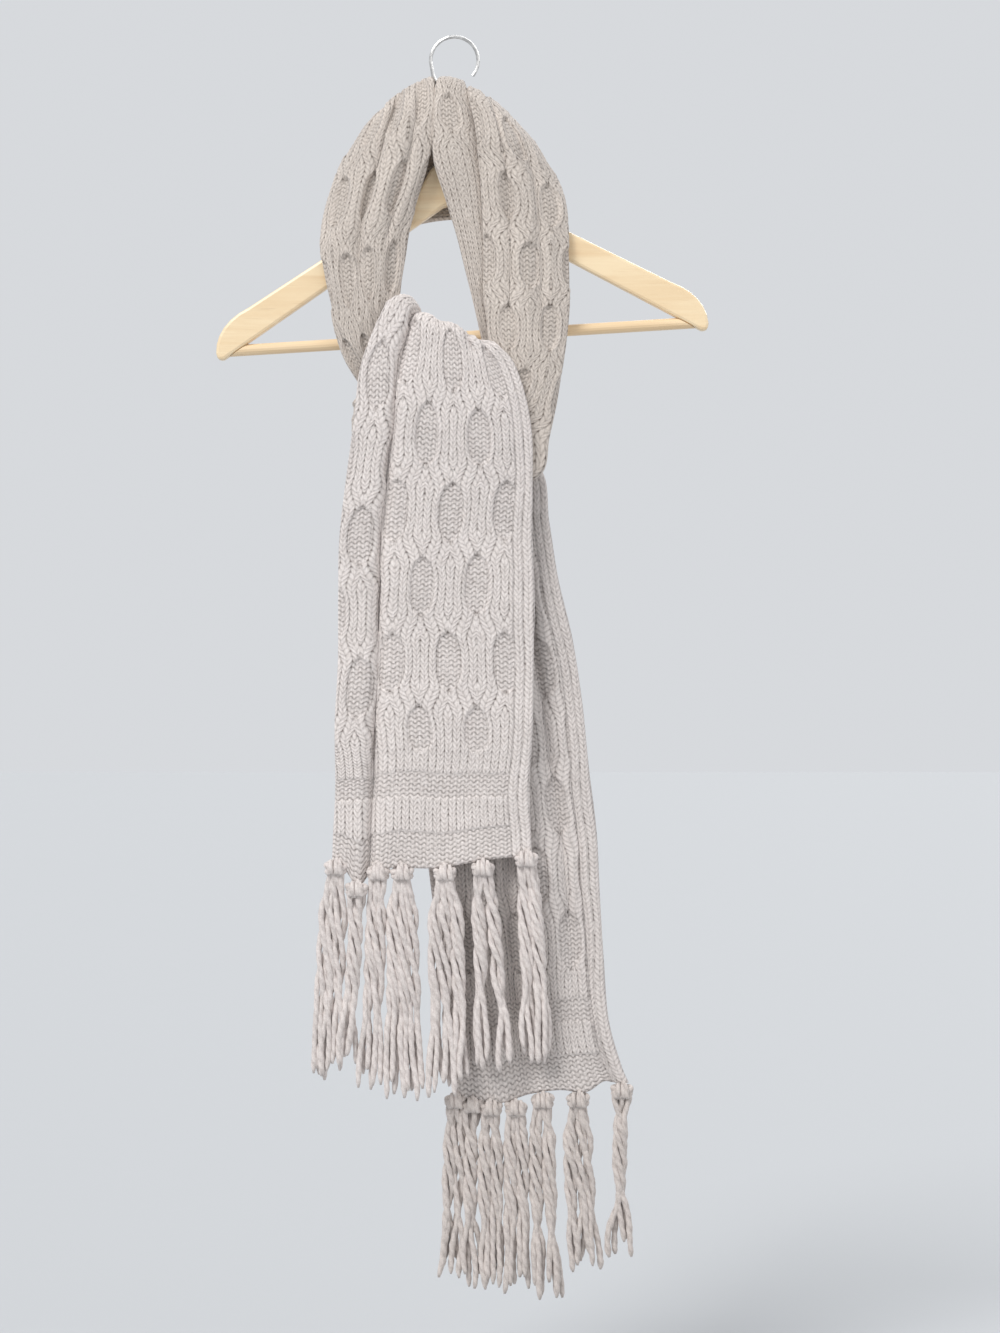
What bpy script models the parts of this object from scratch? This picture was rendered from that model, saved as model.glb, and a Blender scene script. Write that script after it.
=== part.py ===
"""Knit scarf knotted on a wooden clothes hanger: frame, sizes and plain solids.

The origin is the inside top of the hook, where a rail carries it. +Z is up, +X is to the viewer's right
and the front, with the short tail of the scarf, faces -Y. Every number below is in millimetres.
"""

from collections import namedtuple
from math import cos, exp, pi, radians, sin, tan

import bmesh
import bpy
from mathutils import Matrix, Vector

MM = 0.001

# ---------------------------------------------------------------- driving sizes

WALL = 3.0  # a chunky knit laid flat

HANGER_TILT = radians(3.5)  # the right arm rides higher
HANGER_CENTRE = Vector((-1.8, 0.0, -123.9))  # where the straight top edges of both arms would meet
HANGER_HALF_WIDTH = 223.6
HANGER_THICKNESS = 12.0
ARM_SLOPE = radians(29.7)
ARM_HEIGHT = 24.0  # straight up and down, at the centre
HUMP_HEIGHT = 14.0  # the raised middle that the hook goes into
HUMP_SIDE = ((11.0, 12.0), (20.0, 5.0), (30.0, -11.0))  # its right side, from the top down
HUMP_FOOT_X = 42.0  # where it meets the straight top edge of the arm
SHOULDER_X = 192.0  # where the straight top edge starts to round over
SHOULDER_STEPS = 6
TIP_DROP = 155.0
TIP_FACE = 6.0  # height of the arm's upright end
TIP_CHAMFER = 1.5
UNDERSIDE_START = (10.0, -ARM_HEIGHT - 5.36)  # where the straight underside starts, beside the middle
UNDERSIDE_END_IN = 7.0  # how far in from the tip it ends
UNDERSIDE_MIDDLE_DROP = 1.5
BOARD_EDGE = 2.5  # what is rounded off the board's edges
BAR_RADIUS = 5.2
BAR_DROP = 147.2

HOOK_WIRE = 3.2
HOOK_INSIDE = 20.0  # radius of the open circle that takes the rail
HOOK_SHANK = (0.0, 18.0, 36.0, 48.0)  # places along the straight wire, from its foot
HOOK_BEND = ((-9.6, -53.5), (-15.3, -43.0), (-19.6, -33.0))  # from the shank to the circle, x and z
HOOK_FIRST_ANGLE = 196.0  # degrees round the circle, where the bend meets it
HOOK_SWEEP = 236.0
HOOK_STEPS = 18
PLAY = 0.4  # between the body and what touches it: the wire's foot and the bar's ends

# A row is one section of a cloth stretch. It runs from its left edge to its right edge as the wearer's
# front is seen. belly brings its middle forward, and bow lifts its middle at a right angle to the section.
Row = namedtuple("Row", "left_x left_z left_y right_x right_z right_y belly bow")

# A fold is one trough that runs down a stretch: where it lies across the stretch at its start and its end
# (0 left, 1 right), the part of the length that it takes, its half width across, and its depth.
Fold = namedtuple("Fold", "across_start across_end start end half_width depth")

LEFT_LEG = (
    Row(-72.0, -90.0, 15.0, -20.5, -52.0, 13.0, 0.0, 4.0),
    Row(-70.0, -79.0, 6.0, -20.0, -39.0, 5.0, 0.0, 6.5),
    Row(-84.0, -91.0, 0.0, -19.5, -46.0, -7.0, 5.0, 5.0),
    Row(-99.0, -112.0, 3.0, -20.5, -76.0, -15.0, 17.0, 2.0),
    Row(-110.5, -140.0, 4.0, -23.4, -115.0, -17.0, 18.0, 1.0),
    Row(-118.0, -168.0, 0.0, -32.0, -146.0, -16.0, 16.0, 0.0),
    Row(-120.0, -194.0, -9.5, -40.0, -173.0, -15.0, 12.0, 0.0),
    Row(-116.5, -219.0, -11.5, -44.5, -200.0, -15.0, 11.0, 0.0),
    Row(-111.0, -243.0, -13.0, -48.5, -226.0, -16.0, 10.0, 0.0),
    Row(-106.5, -267.0, -14.0, -50.5, -250.0, -17.0, 9.0, 0.0),
    Row(-98.0, -293.0, -16.0, -47.0, -275.0, -18.0, 7.0, 0.0),
    Row(-84.0, -318.0, -17.0, -33.0, -300.0, -18.0, 4.0, 0.0),
    Row(-66.0, -350.0, -17.0, -8.0, -327.0, -18.0, 2.0, 0.0),
    Row(-46.0, -385.0, -16.0, 22.0, -356.0, -18.0, 1.0, 0.0),
)
LEFT_LEG_FOLDS = (
    Fold(0.50, 0.42, 0.12, 0.62, 0.09, 7.0),
    Fold(0.80, 0.74, 0.16, 0.50, 0.07, 3.5),
)

RIGHT_LEG = (
    Row(11.0, -58.0, 14.0, 55.0, -90.0, 15.0, 0.0, 4.0),
    Row(10.5, -46.0, 5.0, 53.0, -80.0, 6.0, 0.0, 4.0),
    Row(12.0, -54.0, -11.0, 66.0, -91.0, 1.0, 5.0, 3.0),
    Row(18.5, -82.0, -20.0, 82.0, -111.0, 3.0, 15.0, 2.0),
    Row(22.5, -115.0, -21.0, 95.0, -136.0, 3.0, 15.0, 1.0),
    Row(24.5, -146.0, -22.0, 101.0, -159.0, -5.0, 11.0, 0.0),
    Row(26.0, -177.0, -23.0, 103.0, -186.0, -11.0, 9.0, 0.0),
    Row(26.5, -207.0, -24.0, 103.8, -212.0, -14.0, 9.0, 0.0),
    Row(26.5, -236.0, -26.0, 103.8, -240.0, -17.0, 9.0, 0.0),
    Row(30.0, -264.0, -27.0, 101.5, -268.0, -20.0, 9.0, 0.0),
    Row(29.0, -291.0, -30.0, 98.0, -297.0, -24.0, 7.0, 0.0),
    Row(8.0, -317.0, -33.0, 93.0, -331.0, -27.0, 5.0, 0.0),
    Row(-22.0, -330.0, -34.0, 86.0, -364.0, -28.0, 3.0, 0.0),
    Row(-48.0, -330.0, -34.0, 78.0, -398.0, -28.0, 2.0, 0.0),
    Row(-62.0, -321.0, -34.0, 38.0, -412.0, -29.0, 1.0, 0.0),
    Row(-72.0, -314.0, -34.0, -10.0, -412.0, -30.0, 0.0, 0.0),
)
RIGHT_LEG_FOLDS = (
    Fold(0.34, 0.30, 0.10, 0.60, 0.07, 4.0),
    Fold(0.62, 0.66, 0.16, 0.62, 0.08, 3.5),
)

# The strip beside the opening, which runs in under the edge of the right leg.
INNER_STRIP = (
    Row(-12.5, -51.0, 13.0, 6.5, -54.0, 13.5, 0.0, 1.0),
    Row(-12.5, -39.0, 5.0, 6.5, -43.0, 5.0, 0.0, 1.5),
    Row(-15.0, -46.0, -8.0, 8.0, -50.0, -5.0, 3.0, 1.0),
    Row(-18.5, -78.0, -17.0, 21.0, -80.0, -9.0, 6.0, 0.0),
    Row(-18.5, -114.0, -19.0, 28.0, -116.0, -11.0, 7.0, 0.0),
    Row(-7.5, -150.0, -18.0, 31.0, -150.0, -13.0, 5.0, 0.0),
    Row(2.0, -181.0, -17.0, 34.0, -181.0, -14.0, 3.5, 0.0),
    Row(9.5, -211.0, -17.0, 36.0, -211.0, -15.0, 2.5, 0.0),
    Row(17.0, -241.0, -17.0, 38.0, -241.0, -16.0, 1.5, 0.0),
    Row(23.5, -270.0, -18.0, 41.0, -268.0, -18.0, 0.5, 0.0),
    Row(28.0, -290.0, -19.0, 46.0, -286.0, -19.0, 0.0, 0.0),
)

# The stretch behind the hook, from shoulder to shoulder. Its sections stand upright: left is the top.
BACK_NECK = (
    Row(-88.0, -104.0, 12.0, -112.0, -182.0, 12.0, -6.0, 0.0),
    Row(-72.0, -88.0, 20.0, -90.0, -180.0, 17.0, -7.0, 0.0),
    Row(-48.0, -66.0, 24.0, -58.0, -172.0, 19.0, -8.0, 0.0),
    Row(-16.0, -50.0, 24.0, -18.0, -163.0, 19.0, -8.0, 0.0),
    Row(18.0, -52.0, 24.0, 18.0, -161.0, 19.0, -8.0, 0.0),
    Row(42.0, -76.0, 24.0, 52.0, -164.0, 19.0, -8.0, 0.0),
    Row(62.0, -96.0, 20.0, 80.0, -167.0, 17.0, -7.0, 0.0),
    Row(80.0, -114.0, 12.0, 96.0, -164.0, 12.0, -6.0, 0.0),
)

# The turn round the left leg. It leaves the crossing at the front, goes round the left side, and climbs
# behind both legs to the fold that the front tail hangs from. Left is the upper edge.
WRAP = (
    Row(-74.5, -321.0, -33.0, -74.5, -400.0, -30.5, 0.0, 0.0),
    Row(-82.0, -325.0, -31.0, -83.0, -398.0, -28.0, 0.0, 0.0),
    Row(-87.0, -330.0, -24.0, -88.0, -392.0, -20.0, 0.0, 0.0),
    Row(-88.0, -333.0, -15.0, -89.0, -388.0, -11.0, 0.0, 0.0),
    Row(-85.0, -333.0, -6.0, -85.0, -386.0, -3.0, 0.0, 0.0),
    Row(-76.0, -328.0, -2.0, -72.0, -384.0, 1.0, -2.0, 0.0),
    Row(-64.0, -316.0, -3.0, -50.0, -380.0, 2.0, -3.0, 0.0),
    Row(-54.0, -302.0, -4.0, -16.0, -366.0, 1.0, -4.0, 0.0),
    Row(-48.0, -294.0, -7.0, 10.0, -336.0, -3.0, -3.0, 0.0),
    Row(-43.0, -286.5, -9.3, 19.0, -301.0, -9.3, 0.0, 0.0),
)

# The short tail: up behind the crossing, over it, and down the front to the fringe.
FRONT_TAIL = (
    Row(-42.0, -284.0, -9.5, 19.0, -298.0, -9.5, 0.0, 0.0),
    Row(-44.0, -268.0, -11.0, 20.0, -290.0, -11.0, 0.0, 0.0),
    Row(-46.0, -255.0, -19.0, 21.5, -281.0, -19.0, 0.0, 0.0),
    Row(-52.0, -252.0, -34.0, 25.0, -281.0, -34.0, 0.0, 0.0),
    Row(-62.0, -256.0, -40.0, 40.0, -285.0, -42.5, 3.0, 0.0),
    Row(-73.0, -277.0, -42.0, 53.0, -298.0, -42.0, 7.0, 0.0),
    Row(-84.0, -308.0, -42.0, 63.5, -326.0, -42.0, 10.0, 0.0),
    Row(-89.0, -350.0, -40.0, 70.0, -362.0, -40.0, 9.0, 0.0),
    Row(-96.0, -400.0, -37.0, 70.5, -402.0, -37.0, 7.0, 0.0),
    Row(-102.5, -456.0, -34.0, 70.5, -456.0, -34.0, 6.0, 0.0),
    Row(-103.5, -510.0, -32.0, 72.5, -510.0, -32.0, 5.0, 0.0),
    Row(-104.0, -566.0, -30.0, 71.5, -566.0, -30.0, 4.0, 0.0),
    Row(-107.0, -622.0, -28.0, 71.0, -622.0, -28.0, 4.0, 0.0),
    Row(-106.5, -678.0, -27.0, 68.0, -675.0, -27.0, 3.0, 0.0),
    Row(-108.5, -720.0, -26.0, 69.0, -712.0, -26.0, 3.0, 0.0),
    Row(-109.5, -748.0, -26.0, 70.0, -740.0, -26.0, 3.0, 0.0),
)
FRONT_TAIL_FOLDS = (
    Fold(0.255, 0.185, 0.14, 1.0, 0.035, 9.0),
    Fold(0.74, 0.70, 0.10, 0.34, 0.04, 7.0),
)

# A swell is one rounded rise or dip of the edge that a section ends on: where it lies across, its half
# width, and its height.
Swell = namedtuple("Swell", "across half_width height")
OVER_THE_TOP = (
    Swell(0.11, 0.10, 14.0),
    Swell(0.36, 0.10, 5.0),
    Swell(0.62, 0.10, 4.0),
    Swell(0.88, 0.06, -6.0),
)
FRONT_HEM = (
    Swell(0.13, 0.055, -19.0),
    Swell(0.24, 0.05, -5.0),
    Swell(0.50, 0.25, -7.0),
)

# The long tail, which leaves the back of the crossing and hangs behind the short one.
REAR_TAIL = (
    Row(-46.0, -391.0, -15.0, 24.0, -361.0, -16.0, 1.0, 0.0),
    Row(-50.0, -418.0, -14.0, 77.0, -390.0, -15.0, 3.0, 0.0),
    Row(-52.0, -450.0, -13.0, 86.0, -440.0, -12.0, 4.0, 0.0),
    Row(-50.0, -498.0, -12.0, 94.0, -490.0, -10.0, 5.0, 0.0),
    Row(-46.0, -552.0, -11.0, 107.0, -545.0, -8.0, 5.0, 0.0),
    Row(-40.0, -608.0, -10.0, 116.0, -603.0, -6.0, 5.0, 0.0),
    Row(-34.0, -664.0, -9.0, 122.0, -662.0, -5.0, 5.0, 0.0),
    Row(-27.0, -722.0, -8.0, 129.0, -720.0, -4.0, 4.0, 0.0),
    Row(-20.0, -780.0, -7.0, 132.0, -778.0, -4.0, 4.0, 0.0),
    Row(-13.0, -838.0, -6.0, 135.5, -836.0, -4.0, 4.0, 0.0),
    Row(-7.0, -894.0, -6.0, 140.0, -890.0, -4.0, 4.0, 0.0),
    Row(-3.0, -940.0, -6.0, 151.0, -930.0, -4.0, 4.0, 0.0),
    Row(-1.5, -962.0, -6.0, 158.0, -947.0, -4.0, 4.0, 0.0),
)
REAR_TAIL_FOLDS = (
    Fold(0.72, 0.82, 0.12, 0.80, 0.05, 7.0),
    Fold(0.52, 0.40, 0.20, 1.0, 0.07, 6.0),
    Fold(0.88, 0.92, 0.50, 1.0, 0.035, 4.0),
)
REAR_HEM = (
    Swell(0.28, 0.14, -7.0),
    Swell(0.74, 0.08, -5.0),
    Swell(0.86, 0.05, 4.0),
)

# A tassel is a bunch of cut yarn looped through the hem: where it starts, where it ends, and how far it
# reaches to each side at its end.
Tassel = namedtuple("Tassel", "top_x top_z top_y end_x end_z spread")
FRONT_FRINGE = (
    Tassel(-106.0, -752.0, -26.5, -114.0, -940.0, 8.5),
    Tassel(-87.0, -771.0, -29.0, -95.0, -926.0, 8.0),
    Tassel(-68.0, -756.5, -27.0, -75.0, -948.0, 11.0),
    Tassel(-46.5, -756.5, -28.0, -43.5, -958.0, 17.0),
    Tassel(-8.0, -756.5, -29.0, -5.0, -954.0, 18.0),
    Tassel(26.0, -752.5, -29.0, 37.0, -931.0, 19.0),
    Tassel(65.0, -744.5, -27.0, 76.0, -926.0, 14.0),
)
REAR_FRINGE = (
    Tassel(1.5, -964.5, -6.0, -2.0, -1122.0, 7.0),
    Tassel(16.5, -968.0, -8.0, 14.5, -1133.0, 8.5),
    Tassel(33.0, -970.5, -9.0, 35.0, -1134.0, 9.0),
    Tassel(56.0, -970.5, -9.0, 56.5, -1135.0, 10.0),
    Tassel(80.0, -964.0, -8.0, 84.0, -1142.0, 12.5),
    Tassel(112.0, -963.5, -7.0, 117.0, -1118.0, 15.5),
    Tassel(152.0, -955.5, -4.5, 151.0, -1106.0, 12.0),
)
TASSEL_WAIST = 6.0  # half width just under its loop
TASSEL_DEPTH = 5.5  # half depth
TASSEL_SIDES = 8
TASSEL_RINGS = ((0.0, 0.62), (0.05, 1.0), (0.16, 0.86), (0.55, 1.0), (1.0, 1.0))  # place and fullness


# ---------------------------------------------------------------- tools


def paint(name, colour, roughness, metallic=0.0):
    """One plain material for one kind of surface."""
    made = bpy.data.materials.new(name)
    made.use_nodes = True
    shader = made.node_tree.nodes["Principled BSDF"]
    shader.inputs["Base Color"].default_value = (*colour, 1.0)
    shader.inputs["Roughness"].default_value = roughness
    shader.inputs["Metallic"].default_value = metallic
    return made


def add_object(name, mesh, material):
    made = bpy.data.objects.new(name, mesh)
    bpy.context.scene.collection.objects.link(made)
    made.data.materials.append(material)
    return made


def row_at(rows, along):
    """The section at this part of the length, from 0 to 1, on a smooth curve through the table's rows."""
    place = min(max(along, 0.0), 1.0) * (len(rows) - 1)
    first = min(int(place), len(rows) - 2)
    t = place - first
    before = rows[max(first - 1, 0)]
    after = rows[min(first + 2, len(rows) - 1)]
    weights = (
        (-t + 2 * t**2 - t**3) / 2,
        (2 - 5 * t**2 + 3 * t**3) / 2,
        (t + 4 * t**2 - 3 * t**3) / 2,
        (-(t**2) + t**3) / 2,
    )
    four = zip(before, rows[first], rows[first + 1], after)
    return Row(*(sum(w * value for w, value in zip(weights, column)) for column in four))


def bump(distance, half_width):
    return exp(-((distance / half_width) ** 2))


def fade(x, start, end):
    """0 before start, 1 after end, and smooth between."""
    t = min(max((x - start) / (end - start), 0.0), 1.0)
    return t * t * (3 - 2 * t)


def trough(folds, across, along):
    """How far back the folds push this place, in millimetres."""
    depth = 0.0
    for fold in folds:
        share = (along - fold.start) / (fold.end - fold.start)
        middle = fold.across_start + (fold.across_end - fold.across_start) * share
        ends = fade(share, -0.05, 0.15)
        if fold.end < 1.0:
            ends *= 1.0 - fade(share, 0.8, 1.05)
        depth += fold.depth * ends * bump(across - middle, fold.half_width)
    return depth


def edge_rise(swells, across):
    return sum(s.height * bump(across - s.across, s.half_width) for s in swells)


def cloth_point(rows, folds, across, along):
    row = row_at(rows, along)
    start = Vector((row.left_x, row.left_y, row.left_z))
    end = Vector((row.right_x, row.right_y, row.right_z))
    arch = 4.0 * across * (1.0 - across)
    lift = Vector((start.z - end.z, 0.0, end.x - start.x)).normalized() * row.bow * arch
    point = start.lerp(end, across) + lift
    point.y += trough(folds, across, along) - row.belly * arch
    return point


def cloth(name, rows, material, folds=(), wide=9, long=30, move=None):
    """A stretch of cloth: a sheet through the table's sections, thickened to the wall on both sides.
    move takes a point with its place across and along, and returns where it really lies."""
    shape = bmesh.new()
    grid = []
    for step in range(long + 1):
        line = []
        for count in range(wide + 1):
            across, along = count / wide, step / long
            point = cloth_point(rows, folds, across, along)
            if move:
                point = move(point, across, along)
            line.append(shape.verts.new(point * MM))
        grid.append(line)
    for upper, lower in zip(grid, grid[1:]):
        for count in range(wide):
            shape.faces.new((upper[count], lower[count], lower[count + 1], upper[count + 1]))
    mesh = bpy.data.meshes.new(name)
    shape.to_mesh(mesh)
    shape.free()
    made = add_object(name, mesh, material)
    wall = made.modifiers.new("Wall", "SOLIDIFY")
    wall.thickness = WALL * MM
    wall.offset = 0.0
    return made


def tassel(name, row, material):
    """The plain solid that a tassel fills: eight-sided rings from its loop to its cut ends."""
    shape = bmesh.new()
    made_rings = []
    for along, fullness in TASSEL_RINGS:
        spread = TASSEL_WAIST + (row.spread - TASSEL_WAIST) * fade(along, 0.1, 1.0)
        middle_x = row.top_x + (row.end_x - row.top_x) * along
        z = row.top_z + (row.end_z - row.top_z) * along
        ring = []
        for side in range(TASSEL_SIDES):
            angle = 2 * pi * side / TASSEL_SIDES
            x = middle_x + spread * fullness * cos(angle)
            y = row.top_y + TASSEL_DEPTH * fullness * sin(angle)
            ring.append(shape.verts.new(Vector((x, y, z)) * MM))
        made_rings.append(ring)
    for upper, lower in zip(made_rings, made_rings[1:]):
        for side in range(TASSEL_SIDES):
            other = (side + 1) % TASSEL_SIDES
            shape.faces.new((upper[side], lower[side], lower[other], upper[other]))
    shape.faces.new(made_rings[0])
    shape.faces.new(reversed(made_rings[-1]))
    bmesh.ops.recalc_face_normals(shape, faces=shape.faces)
    mesh = bpy.data.meshes.new(name)
    shape.to_mesh(mesh)
    shape.free()
    return add_object(name, mesh, material)


# ---------------------------------------------------------------- hanger


def hanger_place():
    """From the hanger's own upright frame to the world."""
    return Matrix.Translation(HANGER_CENTRE * MM) @ Matrix.Rotation(-HANGER_TILT, 4, "Y")


def arm_outline():
    """The right half of the body's outline, from the top of the hump round the tip to the centre's underside."""
    slope = tan(ARM_SLOPE)
    outline = [(0.0, HUMP_HEIGHT), *HUMP_SIDE, (HUMP_FOOT_X, -HUMP_FOOT_X * slope)]
    shoulder_z = -SHOULDER_X * slope
    outline.append((SHOULDER_X, shoulder_z))
    tip_x, tip_z = HANGER_HALF_WIDTH, TIP_FACE - TIP_DROP
    for step in range(1, SHOULDER_STEPS + 1):  # the shoulder rounds over to an upright end
        turn = ARM_SLOPE + (pi / 2 - ARM_SLOPE) * step / SHOULDER_STEPS
        reach = (sin(turn) - sin(ARM_SLOPE)) / (1 - sin(ARM_SLOPE))
        fall = (cos(ARM_SLOPE) - cos(turn)) / cos(ARM_SLOPE)
        outline.append((SHOULDER_X + (tip_x - SHOULDER_X) * reach, shoulder_z + (tip_z - shoulder_z) * fall))
    outline += [(tip_x - TIP_CHAMFER, -TIP_DROP), (tip_x - UNDERSIDE_END_IN, -TIP_DROP)]
    outline += [UNDERSIDE_START, (0.0, -ARM_HEIGHT - UNDERSIDE_MIDDLE_DROP)]
    return outline


def hanger_body(material):
    """Both arms and the raised middle, sawn from one board."""
    right = arm_outline()
    left = [(-x, z) for x, z in right[-2:0:-1]]
    half = HANGER_THICKNESS / 2
    shape = bmesh.new()
    front = [shape.verts.new(Vector((x, -half, z)) * MM) for x, z in right + left]
    face = shape.faces.new(front)
    grown = bmesh.ops.extrude_face_region(shape, geom=[face])
    back = [item for item in grown["geom"] if isinstance(item, bmesh.types.BMVert)]
    bmesh.ops.translate(shape, verts=back, vec=(0.0, HANGER_THICKNESS * MM, 0.0))
    bmesh.ops.recalc_face_normals(shape, faces=shape.faces)
    mesh = bpy.data.meshes.new("hanger_body")
    shape.to_mesh(mesh)
    shape.free()
    made = add_object("hanger_body", mesh, material)
    made.matrix_world = hanger_place()
    edge = made.modifiers.new("Rounded edges", "BEVEL")
    edge.width = BOARD_EDGE * MM
    edge.segments = 2
    edge.angle_limit = radians(40)
    return made


def hanger_bar(material):
    """The round bar between the arm ends, cut to the slope of the arms' undersides."""
    shape = bmesh.new()
    bmesh.ops.create_cone(
        shape,
        cap_ends=True,
        segments=16,
        radius1=BAR_RADIUS * MM,
        radius2=BAR_RADIUS * MM,
        depth=2 * HANGER_HALF_WIDTH * MM,
        matrix=Matrix.Translation((0, 0, -BAR_DROP * MM)) @ Matrix.Rotation(pi / 2, 4, "Y"),
    )
    under_start = Vector((UNDERSIDE_START[0], 0.0, UNDERSIDE_START[1]))
    under_end = Vector((HANGER_HALF_WIDTH - UNDERSIDE_END_IN, 0.0, -TIP_DROP))
    slope = (under_end - under_start).normalized()
    outward = Vector((-slope.z, 0.0, slope.x))
    for side in (1, -1):
        place = under_start - outward * PLAY
        bmesh.ops.bisect_plane(
            shape,
            geom=shape.verts[:] + shape.edges[:] + shape.faces[:],
            plane_co=Vector((side * place.x, 0.0, place.z)) * MM,
            plane_no=Vector((side * outward.x, 0.0, outward.z)),
            clear_outer=True,
        )
        bmesh.ops.holes_fill(shape, edges=[e for e in shape.edges if e.is_boundary])
    bmesh.ops.recalc_face_normals(shape, faces=shape.faces)
    mesh = bpy.data.meshes.new("hanger_bar")
    shape.to_mesh(mesh)
    shape.free()
    made = add_object("hanger_bar", mesh, material)
    made.matrix_world = hanger_place()
    return made


def hanger_hook(material):
    """Round wire: a straight shank that leans with the hanger, a bend to the left, and the open circle."""
    line = HOOK_INSIDE + HOOK_WIRE / 2
    centre = Vector((0.0, 0.0, HOOK_WIRE / 2 - line))
    foot = hanger_place() @ (Vector((0.0, 0.0, HUMP_HEIGHT + PLAY)) * MM) / MM
    up = Vector((-sin(HANGER_TILT), 0.0, cos(HANGER_TILT)))
    points = [foot + up * height for height in HOOK_SHANK]
    points += [Vector((x, 0.0, z)) for x, z in HOOK_BEND]
    for step in range(HOOK_STEPS + 1):
        angle = radians(HOOK_FIRST_ANGLE - HOOK_SWEEP * step / HOOK_STEPS)
        points.append(centre + Vector((cos(angle), 0.0, sin(angle))) * line)
    curve = bpy.data.curves.new("hanger_hook", "CURVE")
    curve.dimensions = "3D"
    curve.bevel_depth = HOOK_WIRE / 2 * MM
    curve.bevel_resolution = 2
    curve.use_fill_caps = True
    spline = curve.splines.new("POLY")
    spline.points.add(len(points) - 1)
    for place, point in zip(spline.points, points):
        place.co = (*(point * MM), 1.0)
    return add_object("hanger_hook", curve, material)


# ---------------------------------------------------------------- the part


def over_and_hem(point, across, along):
    """The short tail's uneven fold at the top and its uneven hem."""
    point.z += edge_rise(OVER_THE_TOP, across) * fade(along, 0.02, 0.12) * (1.0 - fade(along, 0.25, 0.5))
    point.z += edge_rise(FRONT_HEM, across) * fade(along, 0.86, 1.0)
    return point


def rear_hem(point, across, along):
    point.z += edge_rise(REAR_HEM, across) * fade(along, 0.88, 1.0)
    return point


for old in list(bpy.data.objects):
    bpy.data.objects.remove(old)

knit = paint("Wool knit", (0.62, 0.58, 0.545), 0.95)
yarn = paint("Wool yarn", (0.64, 0.60, 0.565), 0.95)
wood = paint("Pale wood", (0.80, 0.62, 0.41), 0.5)
steel = paint("Hook wire", (0.70, 0.69, 0.67), 0.3, 1.0)

hanger_body(wood)
hanger_bar(wood)
hanger_hook(steel)

cloth("scarf_left_leg", LEFT_LEG, knit, LEFT_LEG_FOLDS, wide=10, long=30)
cloth("scarf_right_leg", RIGHT_LEG, knit, RIGHT_LEG_FOLDS, wide=10, long=34)
cloth("scarf_inner_strip", INNER_STRIP, knit, wide=5, long=22)
cloth("scarf_back_neck", BACK_NECK, knit, wide=8, long=20)
cloth("scarf_wrap", WRAP, knit, wide=6, long=24)
cloth("scarf_front_tail", FRONT_TAIL, knit, FRONT_TAIL_FOLDS, wide=17, long=28, move=over_and_hem)
cloth("scarf_rear_tail", REAR_TAIL, knit, REAR_TAIL_FOLDS, wide=12, long=20, move=rear_hem)

for number, row in enumerate(FRONT_FRINGE, 1):
    tassel(f"fringe_front_{number}", row, yarn)
for number, row in enumerate(REAR_FRINGE, 1):
    tassel(f"fringe_rear_{number}", row, yarn)
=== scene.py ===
import bpy
import numpy as np
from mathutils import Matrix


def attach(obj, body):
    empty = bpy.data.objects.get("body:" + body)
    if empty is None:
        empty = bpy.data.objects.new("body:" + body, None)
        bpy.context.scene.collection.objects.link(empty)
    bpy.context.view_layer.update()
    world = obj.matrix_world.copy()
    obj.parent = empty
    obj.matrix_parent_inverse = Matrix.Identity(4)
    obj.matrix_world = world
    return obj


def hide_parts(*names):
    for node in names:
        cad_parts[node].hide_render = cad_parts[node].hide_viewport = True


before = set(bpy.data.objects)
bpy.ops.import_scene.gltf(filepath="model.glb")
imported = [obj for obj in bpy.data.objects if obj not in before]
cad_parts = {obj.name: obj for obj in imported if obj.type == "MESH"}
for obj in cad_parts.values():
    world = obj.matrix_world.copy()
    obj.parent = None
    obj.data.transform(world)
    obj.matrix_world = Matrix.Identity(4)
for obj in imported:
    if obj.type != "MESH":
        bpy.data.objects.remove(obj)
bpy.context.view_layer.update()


# ---------------------------------------------------------------- camera
# The scarf is seen square on from the front, from a little over two metres away. The view is just tall
# enough for the hook at the top and the lowest tassel at the bottom.
VIEW_DISTANCE = 2.4
VIEW_HEIGHT = 1.2
CAMERA_X, CAMERA_Z = 0.0414, -0.57
SENSOR_MM = 24.0

bpy.ops.object.select_all(action="DESELECT")
bpy.ops.object.camera_add(location=(CAMERA_X, -0.02 - VIEW_DISTANCE, CAMERA_Z), rotation=(np.pi / 2, 0, 0))
camera = bpy.context.object
camera.name = "front_camera"
camera.data.sensor_width = SENSOR_MM
camera.data.lens = SENSOR_MM * VIEW_DISTANCE / VIEW_HEIGHT
bpy.context.scene.camera = camera


# ---------------------------------------------------------------- floor and light
# A plain pale floor under the lowest tassel, a pale surround, and three soft lamps: a broad one high on
# the left that models the stitches, a weaker one from the right, and one behind for the back views.
FLOOR_Z = -1.26
bpy.ops.mesh.primitive_plane_add(size=30.0, location=(0.0, 0.0, FLOOR_Z))
floor = bpy.context.object
floor.name = "floor"
floor_paint = bpy.data.materials.new("Pale floor")
floor_paint.use_nodes = True
floor_shader = floor_paint.node_tree.nodes["Principled BSDF"]
floor_shader.inputs["Base Color"].default_value = (0.465, 0.476, 0.488, 1.0)
floor_shader.inputs["Roughness"].default_value = 0.9
floor.data.materials.append(floor_paint)

world = bpy.data.worlds.new("Pale surround")
world.use_nodes = True
world.node_tree.nodes["Background"].inputs["Color"].default_value = (0.79, 0.81, 0.84, 1.0)
world.node_tree.nodes["Background"].inputs["Strength"].default_value = 0.86
bpy.context.scene.world = world
bpy.context.scene.view_settings.view_transform = "Standard"


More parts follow.
